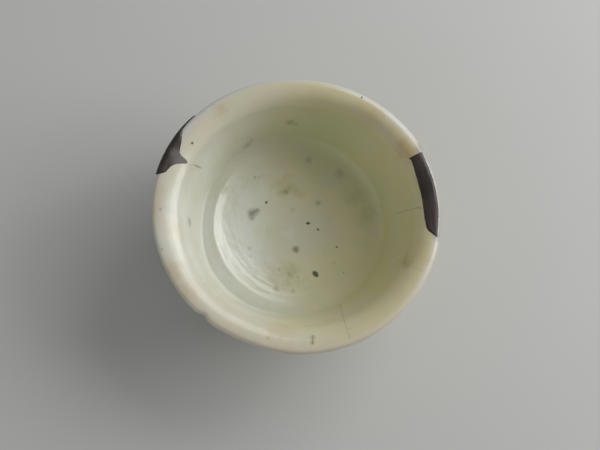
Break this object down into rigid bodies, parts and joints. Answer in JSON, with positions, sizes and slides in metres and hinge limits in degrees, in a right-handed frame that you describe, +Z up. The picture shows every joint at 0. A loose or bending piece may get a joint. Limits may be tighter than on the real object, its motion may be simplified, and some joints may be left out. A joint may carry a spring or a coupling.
{
  "type": "sake cup",
  "caption": "Small footed sake cup of pale glazed porcelain with a sunken well, a flared wall with a rounded lip and dark lacquer repairs on the lip.",
  "frame": {"origin": "middle of the foot ring, on the table that the cup stands on", "axes": "+Z up along the cup's axis, +X to the right in the picture, with the band repair 9.5 degrees round from it"},
  "size_m": [0.072, 0.072, 0.028],
  "materials": {
    "clay": "matte",
    "glaze": "gloss",
    "filler": "matte",
    "lacquer": "gloss"
  },
  "bodies": {
    "root": {"clay_body": "clay", "glaze_coat": "glaze", "foot_glaze": "glaze", "edge_repair_filler": "filler", "edge_repair_lacquer": "lacquer", "band_repair_filler": "filler", "band_repair_lacquer": "lacquer"}
  },
  "joints": []
}
